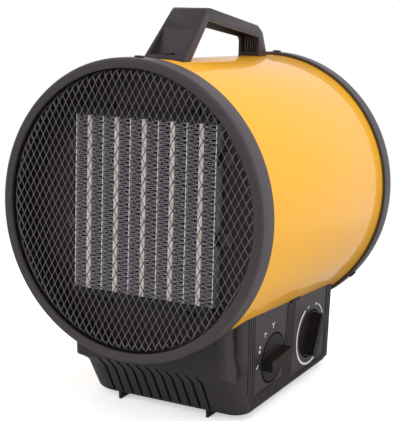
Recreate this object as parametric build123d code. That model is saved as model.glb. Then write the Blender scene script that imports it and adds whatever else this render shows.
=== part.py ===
from build123d import *
from math import atan2, cos, degrees, radians, sin, sqrt
import os

# Forced air heater: a tilted sheet-metal drum on a moulded base.
# All lengths are millimetres and all angles degrees.

# Drum, on its own axis: y runs from the front ring's face to the back
drum_length = 256.0
drum_tilt = 4.2
shell_radius = 117.2
shell_wall = 0.8
fit_gap = 0.1
axis_over_shell = 61.8
axis_height = shell_radius + axis_over_shell

# End rings
front_ring_depth = 19.0
rear_ring_depth = 15.0
ring_wall = 2.7
ring_radius = shell_radius + fit_gap + ring_wall
ring_overlap = 5.2
ring_opening_radius = shell_radius - ring_overlap
ring_lip = 3.0
ring_round = 3.0
front_screw_angles = (88.0, 205.0)
rear_screw_angles = (88.0, 222.0, 318.0)
ring_screw_share = 0.55
ring_screw_head_radius = 3.8
ring_screw_head_height = 1.4
ring_screw_radius = 1.9
ring_screw_length = 7.0

# Front grille: a net of diamond gaps in one sheet
grille_wall = 1.2
diamond_width = 13.4
diamond_height = 23.0
strand = 1.8
grille_rim = 3.5

# Rear grille: hoops and spokes
guard_wall = 1.8
guard_hoop = 2.4
guard_hoops = 9
guard_spokes = 8
guard_hub_radius = 20.0

# Heating element
element_side_room = 51.7
element_end_room = 45.7
element_width = 2 * (shell_radius - element_side_room)
element_height = 2 * (shell_radius - element_end_room)
element_depth = 15.0
element_front = 26.0
bar_count = 5
bar_width = 4.2
strip_wall = 0.8
fin_pitch = 8.5
fin_wall = 0.5
frame_height = 7.0
frame_wall = 1.5
tab_width = 6.3
tab_length = 12.0
tab_wall = 0.8

# Baffle behind the element
baffle_wall = 1.0
baffle_rim = 12.0
baffle_overlap = 3.0
baffle_screw_radius = 1.5
baffle_screw_head = 3.0

# Spring clips beside the element
clip_heights = (45.0, -18.0)
clip_half = 5.0
clip_wall = 1.0
clip_run = 12.0

# Thermal cut-out
cutout_radius = 8.0
cutout_height = 8.0
cutout_blade = 9.0
cutout_room = 33.2
cutout_reach = shell_radius - cutout_room

# Motor and fan
motor_radius = 34.0
motor_length = 46.0
motor_front = 118.0
bell_radius = 20.0
bell_length = 9.0
shaft_radius = 4.0
shaft_front = 4.0
running_gap = 0.05
bracket_wall = 2.0
bracket_arms = 3
arm_width = 16.0
bracket_foot = 18.0
fan_room = 15.2
fan_radius = shell_radius - fan_room
fan_hub_radius = 26.0
fan_hub_length = 30.0
fan_hub_round = 6.0
fan_gap = 6.0
blade_count = 6
blade_wall = 2.0
blade_root_pitch = 42.0
blade_tip_pitch = 22.0
blade_root_chord = 36.0
blade_tip_chord = 62.0
nut_radius = 7.0
nut_height = 6.0

# Handle, in the drum's own axes; it narrows evenly from front foot to rear foot
handle_front_half_width = 19.0
handle_rear_half_width = 9.1
handle_front_foot = 52.0
handle_foot_depth = 14.5
handle_top_front = 94.0
handle_rise = 41.8
handle_top_height = shell_radius + handle_rise
handle_top_rear = 195.0
handle_fall = 14.7
handle_rear_height = handle_top_height - handle_fall
handle_shoulder = 206.5
handle_shoulder_drop = 6.3
handle_shoulder_height = handle_rear_height - handle_shoulder_drop
handle_rear_foot = 217.0
handle_rear_leg = 18.5
handle_grip_depth = 10.2
handle_wall = 2.6
handle_skin = 3.1
handle_floor = 3.5
handle_root = 6.0
handle_pocket_share = 0.58
handle_front_screw = 8.0
handle_rear_screw = 12.0
handle_screw_radius = 2.4
handle_screw_head = 4.6
handle_screw_length = 9.0

# Base, measured from the plane of the drum's front ring
foot_height = 6.3
base_wall = 2.6
base_top = 104.0
base_front_bottom = 49.3
base_front_top = 1.0
base_rear_bottom = 217.0
base_rear_top = 222.5
base_half_width = 76.6
base_draft = 0.05
base_front_round = 28.0
base_panel_round = 14.0
base_rear_round = 8.0
base_heel_rise = 3.0
base_heel_run = 4.0
brow_front = 9.0
brow_bottom = 46.0
brow_rise = 6.0
brow_half_width = 70.0
brow_round = 26.0
brow_run = 30.0
groove_count = 11
groove_pitch = 9.4
groove_width = 1.5
groove_depth = 1.4
groove_top = 43.0
slot_height = 6.0
slot_width = 2.0
slot_along = 206.0
slot_up = 44.9

# Bottom plate, feet and base screws
plate_wall = 2.5
plate_gap = 0.2
front_foot_inboard = 33.6
front_foot_spread = base_half_width - front_foot_inboard
front_foot_wall = 2.2
front_foot_run = 26.0
rear_foot_inboard = 36.6
rear_foot_spread = base_half_width - rear_foot_inboard
rear_foot_radius = 9.0
rear_foot_inset = 24.0
boss_radius = 4.5
boss_height = 24.0
boss_bore = 1.6
boss_inboard = 22.0
base_screw_head = 3.4
base_screw_length = 12.0
saddle_wall = 3.0
saddle_front = 62.0
saddle_rear = 147.0
saddle_screw_spread = 34.0
saddle_screw_radius = 2.0
saddle_screw_head = 4.0
saddle_screw_length = 10.0
wire_hole_width = 46.0
wire_hole_length = 30.0

# Controls on the panel, which is the base's right-hand side
switch_along = 99.6
switch_up = 42.6
thermostat_along = 173.4
thermostat_up = 41.7
knob_radius = 21.2
knob_gap = 0.6
knob_skirt = 3.4
knob_proud = 0.4
knob_recess = 5.5
grip_length = 39.5
grip_width = 10.4
grip_height = 9.3
grip_draft = 1.5
grip_round = 1.5
knob_cup_wall = 3.0
spindle_radius = 3.0
spindle_engage = 9.0
bush_radius = 5.0
bush_length = 4.9
switch_rest_angle = 183.0
thermostat_rest_angle = 66.0
switch_body_width = 27.0
switch_body_length = 34.0
switch_body_depth = 24.0
thermostat_body_width = 32.0
thermostat_body_length = 40.0
thermostat_body_depth = 16.0
panel_nut_radius = 8.0
bulb_radius = 3.2
bulb_length = 60.0
bulb_angle = 232.0
bulb_stand = 2.0

# Mains inlet
gland_radius = 8.0
gland_flange_radius = 11.0
gland_bore = 3.6
gland_along = 30.0
gland_up = 26.0
gland_length = 14.0
gland_flange = 3.0
gland_neck = 8.0
block_length = 42.0
block_width = 18.0
block_height = 14.0
block_screw_radius = 3.2
block_wire_radius = 2.4

# Frames: the floor frame has its origin under the front ring's centre
half_length = drum_length * cos(radians(drum_tilt)) / 2
centre = Pos(0, -half_length, 0)
drum_on_base = Location((0, 0, axis_height), (-drum_tilt, 0, 0))
drum = centre * drum_on_base
shell_bore = shell_radius - shell_wall
shell_front = ring_lip + grille_wall + 2 * fit_gap
shell_back = drum_length - ring_lip - guard_wall - 2 * fit_gap


def tube(outer, inner, start, end):
    """A ring about the drum's axis between two stations."""
    body = Cylinder(outer, end - start) - Cylinder(inner, end - start)
    return Pos(0, (start + end) / 2, 0) * Rot(90, 0, 0) * body


def rod(radius, start, end):
    """A round bar about the drum's axis between two stations."""
    return Pos(0, (start + end) / 2, 0) * Rot(90, 0, 0) * Cylinder(radius, end - start)


def block(low, high):
    """A box between two corners."""
    size = [h - l for l, h in zip(low, high)]
    middle = [(h + l) / 2 for l, h in zip(low, high)]
    return Pos(*middle) * Box(*size)


def lathe(points, round_indices=(), radius=1.0):
    """A ring turned about the drum's axis from (radius, station) points."""
    outline = make_face(Polyline(*[(r, y, 0) for r, y in points], close=True))
    chosen = [outline.vertices().sort_by_distance((points[i][0], points[i][1], 0))[0] for i in round_indices]
    if chosen:
        outline = fillet(chosen, radius)
    return revolve(outline, Axis.Y)


def radial(angle, radius, station):
    """A frame on the drum whose +Z points outwards at an angle up from +X."""
    a = radians(angle)
    outward = (cos(a), 0, sin(a))
    return Plane((radius * cos(a), station, radius * sin(a)), x_dir=(0, 1, 0), z_dir=outward).location


def screw(head_radius, head_height, shank_radius, length):
    """A pan-head screw with a cross recess; its head stands on z = 0."""
    head = Pos(0, 0, head_height / 2) * Cylinder(head_radius, head_height)
    head = fillet(head.edges().group_by(Axis.Z)[-1], head_height * 0.5)
    slot = Box(head_radius, head_radius * 0.25, head_height)
    cross = Pos(0, 0, head_height) * (slot + Rot(0, 0, 90) * slot)
    return head - cross + Pos(0, 0, -length / 2) * Cylinder(shank_radius, length)


# ---- drum ----

def on_front_ring(piece):
    """The same piece at each of the front ring's screws."""
    return [radial(angle, ring_radius, front_ring_depth * ring_screw_share) * piece for angle in front_screw_angles]


def on_rear_ring(piece):
    station = drum_length - rear_ring_depth * ring_screw_share
    return [radial(angle, ring_radius, station) * piece for angle in rear_screw_angles]


def saddle_station(along):
    """The drum station that stands over a place along the base."""
    return (along + shell_radius * sin(radians(drum_tilt))) / cos(radians(drum_tilt))


def saddle_places():
    """Angle and station of each screw that ties the drum to the base."""
    lean = degrees(atan2(saddle_screw_spread, shell_radius))
    return [(270 + side * lean, saddle_station(y)) for y in (saddle_front, saddle_rear) for side in (-1, 1)]


def handle_screw_places():
    """Stations of the two handle screws, in the feet."""
    return [handle_front_foot + handle_front_screw, handle_rear_foot - handle_rear_screw]


def drum_shell():
    shell = tube(shell_radius, shell_bore, shell_front, shell_back)
    middle = saddle_station((saddle_front + saddle_rear) / 2)
    low = (-wire_hole_width / 2, middle - wire_hole_length / 2, -shell_radius * 1.1)
    high = (wire_hole_width / 2, middle + wire_hole_length / 2, -shell_radius * 0.9)
    holes = [block(low, high)]
    bore = ring_screw_bore()
    holes += on_front_ring(bore) + on_rear_ring(bore)
    for angle, station in saddle_places():
        holes.append(radial(angle, shell_radius, station) * Cylinder(saddle_screw_radius + fit_gap, 8))
    for station in handle_screw_places():
        holes.append(Pos(0, station, shell_radius) * Cylinder(handle_screw_radius + fit_gap, 8))
    return shell - holes


def end_ring(depth):
    """A moulded rim with a lip; it lies at y 0 to depth and faces -Y."""
    bore = shell_radius + fit_gap
    points = [(ring_opening_radius, 0), (ring_radius, 0), (ring_radius, depth),
              (bore, depth), (bore, ring_lip), (ring_opening_radius, ring_lip)]
    return lathe(points, round_indices=(1,), radius=ring_round)


def ring_screw_bore():
    return Cylinder(ring_screw_radius + fit_gap, 3 * ring_screw_length)


def ring_screw():
    return screw(ring_screw_head_radius, ring_screw_head_height, ring_screw_radius, ring_screw_length)


def front_ring():
    return end_ring(front_ring_depth) - on_front_ring(ring_screw_bore())


def rear_ring():
    ring = Pos(0, drum_length, 0) * Rot(0, 0, 180) * end_ring(rear_ring_depth)
    return ring - on_rear_ring(ring_screw_bore())


def diamonds():
    """Centres of the net's gaps, in two interleaved rows."""
    across = int(ring_radius / diamond_width) + 1
    up = int(ring_radius / diamond_height) + 1
    for i in range(-across, across + 1):
        for j in range(-up, up + 1):
            yield i * diamond_width, j * diamond_height
            yield (i + 0.5) * diamond_width, (j + 0.5) * diamond_height


def front_grille():
    disc_radius = shell_radius - fit_gap
    opening = ring_opening_radius - grille_rim
    half_w = diamond_width / 2 - strand / 2 * sqrt(1 + (diamond_width / diamond_height) ** 2)
    half_h = half_w * diamond_height / diamond_width
    corners = [(half_w, 0), (0, half_h), (-half_w, 0), (0, -half_h)]
    gaps = []
    for x, z in diamonds():
        reach = max(sqrt((x + cx) ** 2 + (z + cz) ** 2) for cx, cz in corners)
        if sqrt(x * x + z * z) > opening:
            continue
        gap = Pos(x, z) * Polygon(*corners, align=None)
        gaps.append(gap if reach < opening else gap & Circle(opening))
    net = Circle(disc_radius) - gaps
    sheet = extrude(Plane.XZ * net, grille_wall)
    print("front grille gaps", len(gaps))
    return Pos(0, ring_lip + fit_gap + grille_wall, 0) * sheet


def rear_grille():
    disc_radius = shell_radius - fit_gap
    opening = ring_opening_radius - guard_hoop
    face = Circle(disc_radius) - Circle(opening)
    step = (opening - guard_hub_radius) / (guard_hoops + 1)
    for i in range(1, guard_hoops + 1):
        r = guard_hub_radius + i * step
        face += Circle(r + guard_hoop / 2) - Circle(r - guard_hoop / 2)
    for i in range(guard_spokes):
        face += Rot(0, 0, i * 360 / guard_spokes) * Pos(disc_radius / 2, 0) * Rectangle(
            disc_radius - guard_hoop, guard_hoop)
    face += Circle(guard_hub_radius)
    sheet = extrude(Plane.XZ * face, guard_wall)
    return Pos(0, drum_length - ring_lip - fit_gap, 0) * sheet


# ---- handle ----

def handle_top(station):
    """Height of the grip's top line."""
    slope = (handle_rear_height - handle_top_height) / (handle_top_rear - handle_top_front)
    return handle_top_height + slope * (station - handle_top_front)


def front_leg(height):
    """Station of the slanted front leg's face."""
    lean = (handle_top_front - handle_front_foot) / (handle_top_height - shell_radius)
    return handle_front_foot + (height - shell_radius) * lean


def rear_leg(height):
    """Station of the rear leg's back."""
    lean = (handle_rear_foot - handle_shoulder) / (handle_shoulder_height - shell_radius)
    return handle_rear_foot - (height - shell_radius) * lean


def handle_outline():
    """Side view of the handle, with the finger gap open below the grip."""
    root = shell_radius - handle_root
    inner_rear = handle_rear_foot - handle_rear_leg
    knee = handle_top(handle_top_front + handle_foot_depth) - handle_grip_depth
    inner_front = front_leg(knee) + handle_foot_depth
    points = [(front_leg(root), root), (handle_top_front, handle_top_height), (handle_top_rear, handle_rear_height),
              (handle_shoulder, handle_shoulder_height), (handle_rear_foot, shell_radius), (handle_rear_foot, root),
              (inner_rear, root), (inner_rear, handle_top(inner_rear) - handle_grip_depth),
              (inner_front, handle_top(inner_front) - handle_grip_depth), (front_leg(root) + handle_foot_depth, root)]
    face = make_face(Plane.YZ * Polyline(*points, close=True))
    for index, radius in [(1, 7.0), (2, 10.0), (3, 8.0), (7, 5.0), (8, 4.0)]:
        corner = face.vertices().sort_by_distance((0, *points[index]))[0]
        face = fillet(corner, radius)
    return face


def handle_plan(inset):
    """The handle's plan, from which each side is cut."""
    taper = (handle_rear_half_width - handle_front_half_width) / (handle_rear_foot - handle_front_foot)
    near = handle_front_half_width - inset - taper * handle_front_foot
    far = near + taper * drum_length
    points = [(-near, 0), (near, 0), (far, drum_length), (-far, drum_length)]
    return extrude(make_face(Polyline(*points, close=True)), 2 * handle_top_height, both=True)


def handle_hollow():
    """The channel under the grip, down into the rear leg."""
    floor = shell_radius + handle_floor
    start = front_leg(handle_top_height - handle_grip_depth) + handle_foot_depth + handle_wall
    mouth = handle_rear_foot - handle_rear_leg - 2 * handle_wall
    under = handle_top(mouth) - 2 * handle_grip_depth
    low_back = rear_leg(floor) - handle_skin
    points = [(start, handle_top(start) - 2 * handle_grip_depth), (start, handle_top(start) - handle_skin),
              (handle_top_rear, handle_rear_height - handle_skin),
              (handle_shoulder - handle_skin, handle_shoulder_height - handle_skin),
              (low_back, floor), (mouth, floor), (mouth, under)]
    return extrude(make_face(Plane.YZ * Polyline(*points, close=True)), handle_front_half_width, both=True)


def handle_pocket():
    """The pocket in the slanted leg's face, over its screw."""
    floor = shell_radius + handle_floor
    top = shell_radius + (handle_top_height - shell_radius) * handle_pocket_share
    points = [(front_leg(top) - 2, top), (front_leg(top) + handle_wall, top),
              (front_leg(floor) + handle_foot_depth - handle_wall, floor), (front_leg(floor) - 2, floor)]
    return extrude(make_face(Plane.YZ * Polyline(*points, close=True)), handle_front_half_width, both=True)


def handle():
    body = extrude(handle_outline(), handle_front_half_width + handle_root, both=True) & handle_plan(0)
    body -= (handle_hollow() + handle_pocket()) & handle_plan(handle_wall)
    body -= rod(shell_radius + fit_gap, 0, drum_length)
    bore = Cylinder(handle_screw_radius + fit_gap, 4 * handle_root)
    return body - [Pos(0, station, shell_radius) * bore for station in handle_screw_places()]


def handle_screws():
    piece = screw(handle_screw_head, 2.0, handle_screw_radius, handle_screw_length)
    return [Pos(0, station, shell_radius + handle_floor) * piece for station in handle_screw_places()]


# ---- heating element ----

frame_lip = 4.0
fin_height = element_height + 2 * frame_lip
fin_width = (element_width - (bar_count + 1) * strip_wall - bar_count * bar_width) / (2 * bar_count)
baffle_front = element_front + element_depth / 2
frame_top = element_height / 2 + frame_lip + frame_wall
ear_width = 14.0
ear_height = 10.0
ear_offset = 39.3


def element_columns():
    """Left edges of the strips, fins and bars across the element."""
    strips, fins, bars = [], [], []
    x = -element_width / 2
    for i in range(bar_count):
        strips.append(x)
        fins += [x + strip_wall, x + strip_wall + fin_width + bar_width]
        bars.append(x + strip_wall + fin_width)
        x += strip_wall + 2 * fin_width + bar_width
    return strips + [x], fins, bars


def slab_column(left, width):
    low = (left, element_front, -fin_height / 2)
    return block(low, (left + width, element_front + element_depth, fin_height / 2))


def ptc_bars():
    return [slab_column(x, bar_width) for x in element_columns()[2]]


def divider_strips():
    return [slab_column(x, strip_wall) for x in element_columns()[0]]


def fin_column(left):
    """One corrugated strip, folded from side to side."""
    folds = 2 * int(fin_height / fin_pitch)
    step = fin_height / folds
    slant = fin_wall * sqrt(1 + ((fin_width - 2 * fit_gap) / step) ** 2)
    near, far = left + fit_gap, left + fin_width - fit_gap - slant
    path = [(near if k % 2 else far, -fin_height / 2 + k * step) for k in range(folds + 1)]
    right = [(x + slant, z) for x, z in path]
    face = make_face(Plane.XZ * Polyline(*right, *reversed(path), close=True))
    return Pos(0, element_front + element_depth, 0) * extrude(face, element_depth)


def heater_fins():
    return [fin_column(x) for x in element_columns()[1]]


def end_frames():
    """The insulating channels that hold the columns' ends, with ears."""
    side = element_width / 2
    outer = block((-side - frame_wall, element_front - frame_wall, element_height / 2),
                  (side + frame_wall, element_front + element_depth + frame_wall, frame_top))
    inner = block((-side - fit_gap, element_front - fit_gap, 0),
                  (side + fit_gap, element_front + element_depth + fit_gap, fin_height / 2 + fit_gap))
    upper = outer - inner
    for x in (-ear_offset, ear_offset):
        upper += block((x - ear_width / 2, baffle_front - frame_wall, frame_top - frame_wall),
                       (x + ear_width / 2, baffle_front - fit_gap, frame_top + ear_height))
        upper -= Pos(x, baffle_front, ear_screw_height()) * Rot(90, 0, 0) * Cylinder(
            baffle_screw_radius + fit_gap, 8)
    return [upper, Rot(0, 180, 0) * upper]


def ear_screw_height():
    return frame_top + ear_height * 0.5


def baffle_screws():
    piece = screw(baffle_screw_head, 1.6, baffle_screw_radius, 6.0)
    return [Pos(x, baffle_front - frame_wall - fit_gap, side * ear_screw_height()) * Rot(90, 0, 0) * piece
            for x in (-ear_offset, ear_offset) for side in (-1, 1)]


def heater_baffle():
    rim = shell_bore - fit_gap
    plate = rod(rim, baffle_front, baffle_front + baffle_wall)
    plate += tube(rim, rim - baffle_wall, baffle_front, baffle_front + baffle_rim)
    half = element_width / 2 + frame_wall + fit_gap
    plate -= block((-half, 0, -frame_top - fit_gap), (half, drum_length, frame_top + fit_gap))
    for x in (-ear_offset, ear_offset):
        for side in (-1, 1):
            plate -= Pos(x, baffle_front, side * ear_screw_height()) * Rot(90, 0, 0) * Cylinder(
                baffle_screw_radius + fit_gap, 8)
    return plate


def element_clips():
    """Spring clips that steady the element's sides on the baffle."""
    side = element_width / 2
    clips = []
    near, back = side + fit_gap, baffle_front - fit_gap
    for up in clip_heights:
        low, high = up - clip_half, up + clip_half
        arm = block((near, element_front + clip_wall, low), (near + clip_wall, back, high))
        foot = block((near, back - clip_wall, low), (near + clip_run, back, high))
        clip = arm + foot
        clips += [clip, Rot(0, 180, 0) * Pos(0, 0, -2 * up) * clip]
    return clips


def heater_terminals():
    """Push-on tabs under the lower frame, one for each bar."""
    tabs = []
    for x in element_columns()[2]:
        middle = x + bar_width / 2
        deep = element_front + element_depth - 2
        tabs.append(block((middle - tab_width / 2, deep - tab_wall / 2, -frame_top - tab_length),
                          (middle + tab_width / 2, deep + tab_wall / 2, -frame_top)))
    return tabs


def thermal_cutout():
    back = baffle_front + baffle_wall
    case = rod(cutout_radius, back + fit_gap, back + cutout_height)
    blades = block((-cutout_radius - cutout_blade, back + 3, -2.4), (cutout_radius + cutout_blade, back + 3.8, 2.4))
    return Pos(cutout_reach, 0, 0) * (case + blades)


# ---- motor and fan ----

motor_back = motor_front + motor_length
hub_front = motor_back + bell_length + fan_gap
hub_back = hub_front + fan_hub_length


def motor_body():
    can = rod(motor_radius, motor_front, motor_back)
    can = fillet(can.edges().filter_by(GeomType.CIRCLE), 3)
    can += rod(bell_radius, motor_front - bell_length, motor_back + bell_length)
    return can - rod(shaft_radius + running_gap, 0, drum_length)


def motor_shaft():
    return rod(shaft_radius, motor_front - bell_length - shaft_front, hub_back + nut_height + 2)


def motor_bracket():
    """A spider plate on the motor's front face, its feet welded to the shell."""
    back = motor_front - fit_gap
    plate = rod(motor_radius, back - bracket_wall, back)
    reach = shell_bore - fit_gap
    for i in range(bracket_arms):
        angle = 90 + i * 360 / bracket_arms
        arm = block((0, back - bracket_wall, -arm_width / 2), (reach, back, arm_width / 2))
        foot = block((reach - bracket_wall - 2, back - bracket_foot, -arm_width / 2), (reach, back, arm_width / 2))
        plate += Rot(0, -angle, 0) * (arm + foot)
    plate &= rod(reach, 0, drum_length)
    return plate - rod(bell_radius + fit_gap, 0, drum_length)


def blade():
    """One twisted blade, lofted from root to tip."""
    middle = (hub_front + hub_back) / 2
    sections = []
    stations = [(fan_hub_radius - 2, blade_root_chord, blade_root_pitch),
                (fan_radius, blade_tip_chord, blade_tip_pitch)]
    for radius, chord, pitch in stations:
        plane = Plane((radius, middle, 0), x_dir=(0, 0, 1), z_dir=(1, 0, 0))
        sections.append(plane * Rot(0, 0, pitch) * Rectangle(chord, blade_wall))
    return loft(sections, ruled=True)


def fan():
    hub = rod(fan_hub_radius, hub_front, hub_back)
    hub = fillet(hub.edges().filter_by(GeomType.CIRCLE).sort_by(Axis.Y)[-1], fan_hub_round)
    one = blade()
    for i in range(blade_count):
        hub += Rot(0, i * 360 / blade_count, 0) * one
    return hub - rod(shaft_radius + running_gap, 0, drum_length)


def fan_nut():
    hexagon = extrude(Plane.XZ * RegularPolygon(nut_radius, 6), nut_height)
    nut = Pos(0, hub_back + nut_height, 0) * hexagon
    return nut - rod(shaft_radius + running_gap, 0, drum_length)


# ---- base ----

def half_width(up):
    """Half the base's width at one height of its drafted sides."""
    return base_half_width + base_draft * (up - foot_height)


def rear_lean():
    """Run per rise of the base's rear wall."""
    return (base_rear_top - base_rear_bottom) / (base_top - foot_height)


def rear_wall(up):
    return base_rear_bottom + rear_lean() * (up - foot_height)


def base_outline(front, rear, up, inset, panel_round):
    """The base's plan at one height; the corner beside the panel has its own radius."""
    near, far, side = front + inset, rear - inset, half_width(up) - inset
    points = [(-side, near), (side, near), (side, far), (-side, far)]
    face = make_face(Plane.XY.offset(up) * Polyline(*points, close=True))
    for corner, radius in [((-side, near, up), base_front_round), ((side, near, up), panel_round)]:
        face = fillet(face.vertices().sort_by_distance(corner)[0], radius - inset)
    rears = face.vertices().sort_by(Axis.Y)[-2:]
    return fillet(rears, base_rear_round - inset)


def brow(inset):
    """The part of the front that stands forward, right under the ring."""
    side = brow_half_width - inset
    back = base_front_bottom + brow_run
    plan = make_face(Polyline((-side, brow_front + inset), (side, brow_front + inset), (side, back),
                              (-side, back), close=True))
    plan = fillet(plan.vertices().sort_by(Axis.Y)[:2], brow_round - inset)
    solid = extrude(plan, base_top)
    low = brow_bottom + inset
    cut = [(-50, -10), (brow_front, low + brow_rise), (base_front_bottom - 18, low), (back + 10, low), (back + 10, -10)]
    under = extrude(make_face(Plane.YZ * Polyline(*cut, close=True)), 2 * base_half_width, both=True)
    return solid - under


def base_volume(inset):
    """The base's outer form, or the hollow inside its walls."""
    low = base_outline(base_front_bottom, base_rear_bottom, foot_height, inset, base_panel_round)
    high = base_outline(base_front_top, base_rear_top, base_top, inset, base_front_round)
    body = loft([low, high], ruled=True) + brow(inset)
    back = base_rear_bottom + 2 * base_heel_run
    heel = [(base_rear_bottom - base_heel_run - inset, foot_height), (back - inset, foot_height + 3 * base_heel_rise),
            (back, foot_height - base_heel_rise), (base_rear_bottom - base_heel_run - inset, foot_height - base_heel_rise)]
    wedge = extrude(make_face(Plane.YZ * Polyline(*heel, close=True)), 2 * base_half_width, both=True)
    return body - wedge


def panel_frame(along, up):
    """A frame on the side panel: +X to the rear, +Z outwards."""
    return Plane((half_width(up), along, up), x_dir=(0, 1, 0), z_dir=(1, 0, -base_draft)).location


switch_place = panel_frame(switch_along, switch_up)
thermostat_place = panel_frame(thermostat_along, thermostat_up)
knob_depth = knob_recess + knob_cup_wall


def drum_space():
    """What the drum and its rings take from the base."""
    shell = rod(shell_radius + fit_gap, -ring_radius, drum_length + ring_radius)
    ring = rod(ring_radius + fit_gap, -ring_radius, front_ring_depth + fit_gap)
    back_ring = rod(ring_radius + fit_gap, drum_length - rear_ring_depth - fit_gap, drum_length + ring_radius)
    return drum_on_base * (shell + ring + back_ring)


def front_grooves():
    """Slots down the raked lower front."""
    run = base_front_bottom - base_front_top
    lean = degrees(atan2(run, base_top - foot_height))
    tall = (groove_top - foot_height) / cos(radians(lean))
    place = Pos(0, base_front_bottom, foot_height) * Rot(lean, 0, 0)
    cutter = Box(groove_width, 2 * groove_depth, 2 * tall)
    middle = (groove_count - 1) / 2
    return [place * Pos((i - middle) * groove_pitch, 0, 0) * cutter for i in range(groove_count)]


def saddle_ribs():
    """Cross walls that carry the drum, with bosses above and below."""
    ribs = []
    for along in (saddle_front, saddle_rear):
        side = half_width(base_top)
        wall = block((-side, along - saddle_wall / 2, boss_height), (side, along + saddle_wall / 2, base_top))
        ribs.append(wall)
        for x in (-boss_spread(), boss_spread()):
            low = foot_height + plate_wall + plate_gap
            ribs.append(Pos(x, along, (low + boss_height + 6) / 2) * Cylinder(boss_radius, boss_height + 6 - low))
    for angle, station in saddle_places():
        post = radial(angle, shell_radius + fit_gap, station) * Pos(0, 0, boss_height / 2)
        ribs.append(drum_on_base * post * Cylinder(boss_radius, boss_height))
    return ribs


def boss_spread():
    return base_half_width - boss_radius - boss_inboard


def boss_places():
    return [(x, y) for x in (-boss_spread(), boss_spread()) for y in (saddle_front, saddle_rear)]


def base_body():
    inner = base_volume(base_wall)
    hollow = base_volume(0) - inner
    cup = Pos(0, 0, -knob_depth / 2 - 0.5) * Cylinder(knob_radius + knob_gap + base_wall, knob_depth - 1)
    for place in (switch_place, thermostat_place):
        hollow += place * cup
    for rib in saddle_ribs():
        hollow += rib & inner
    hollow -= drum_space()
    pocket = Cylinder(knob_radius + knob_gap, 2 * knob_recess)
    for place in (switch_place, thermostat_place):
        hollow -= place * pocket
        hollow -= place * Cylinder(bush_radius + fit_gap, 4 * knob_depth)
    hollow -= front_grooves()
    hollow -= [Pos(x, y, boss_height / 2) * Cylinder(boss_bore, boss_height) for x, y in boss_places()]
    for angle, station in saddle_places():
        bore = radial(angle, shell_radius, station) * Cylinder(saddle_screw_radius + fit_gap, 2 * saddle_screw_length)
        hollow -= drum_on_base * bore
    hollow -= gland_place() * Cylinder(gland_radius + fit_gap, 6 * base_wall)
    hollow -= panel_frame(slot_along, slot_up) * Box(slot_width, slot_height, 4 * base_wall)
    return hollow


def base_plate():
    rear = base_rear_bottom - base_heel_run
    inset = base_wall + plate_gap
    plate = extrude(base_outline(base_front_bottom, rear, foot_height, inset, base_panel_round), plate_wall)
    plate -= [Pos(x, y, foot_height) * Cylinder(boss_bore + fit_gap, 4 * plate_wall) for x, y in boss_places()]
    for x in (-front_foot_spread, front_foot_spread):
        plate -= front_foot_peg(x, fit_gap)
    return plate


def front_foot_peg(x, grow):
    half = front_foot_wall / 2 + grow
    start = base_front_bottom + base_wall + 4 - grow
    return block((x - half, start, foot_height - grow), (x + half, start + 10 + 2 * grow, foot_height + plate_wall))


def front_feet():
    """Thin upright plates under the front edge."""
    feet = []
    for x in (-front_foot_spread, front_foot_spread):
        half = front_foot_wall / 2
        start = base_front_bottom + 0.6
        side = [(start, foot_height), (start, 0), (start + front_foot_run - 8, 0),
                (start + front_foot_run, foot_height)]
        fin = extrude(make_face(Plane.YZ * Polyline(*side, close=True)), half, both=True)
        feet.append(Pos(x, 0, 0) * fin + front_foot_peg(x, 0))
    return feet


def rear_feet():
    pad = Pos(0, 0, foot_height / 2) * Cylinder(rear_foot_radius, foot_height)
    pad = fillet(pad.edges().group_by(Axis.Z)[0], 1.5)
    along = base_rear_bottom - rear_foot_inset
    return [Pos(x, along, 0) * pad for x in (-rear_foot_spread, rear_foot_spread)]


def base_screws():
    piece = screw(base_screw_head, 1.5, boss_bore - fit_gap, base_screw_length)
    return [Pos(x, y, foot_height) * Rot(180, 0, 0) * piece for x, y in boss_places()]


def saddle_screws():
    piece = screw(saddle_screw_head, 1.8, saddle_screw_radius, saddle_screw_length)
    places = [radial(angle, shell_bore - fit_gap, station) for angle, station in saddle_places()]
    return [place * Rot(180, 0, 0) * piece for place in places]


def gland_place():
    """A frame in the rear wall: +Z points out of the back."""
    return Plane((-gland_along, rear_wall(gland_up), gland_up), x_dir=(1, 0, 0), z_dir=(0, 1, -rear_lean())).location


def cable_gland():
    flange = Pos(0, 0, fit_gap + gland_flange / 2) * Cylinder(gland_flange_radius, gland_flange)
    neck = Pos(0, 0, gland_flange + gland_neck / 2) * Cone(gland_radius, gland_radius * 0.75, gland_neck)
    barrel = Pos(0, 0, -gland_length / 2 + 1) * Cylinder(gland_radius, gland_length)
    return gland_place() * (flange + neck + barrel - Cylinder(gland_bore, 6 * gland_length))


def terminal_block():
    """A three-way block standing on the bottom plate."""
    low = foot_height + plate_wall
    along = saddle_rear + 2 * boss_radius
    body = block((-block_length / 2, along, low), (block_length / 2, along + block_width, low + block_height))
    for i in (-1, 0, 1):
        x = i * block_length / 3
        body -= Pos(x, along + block_width / 2, low + block_height) * Cylinder(block_screw_radius, block_height)
        wire = Rot(90, 0, 0) * Cylinder(block_wire_radius, 2 * block_width)
        body -= Pos(x, along + block_width / 2, low + block_height / 2) * wire
    return Pos(-gland_along, 0, 0) * body


# ---- controls: each is built about its panel frame, +Z outwards ----

def control_body(wide, long, deep):
    """A boxed control with a threaded bush and a bore for its spindle."""
    back = -knob_depth - fit_gap
    body = Pos(0, 0, back - deep / 2) * Box(long, wide, deep)
    body = fillet(body.edges().filter_by(Axis.Z), 2)
    body += Pos(0, 0, back + bush_length / 2) * Cylinder(bush_radius, bush_length)
    return body - Pos(0, 0, back) * Cylinder(spindle_radius + running_gap, 2 * spindle_grip())


def spindle_grip():
    """How far a spindle reaches into its control, and past its bush."""
    return bush_length + 2


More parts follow.
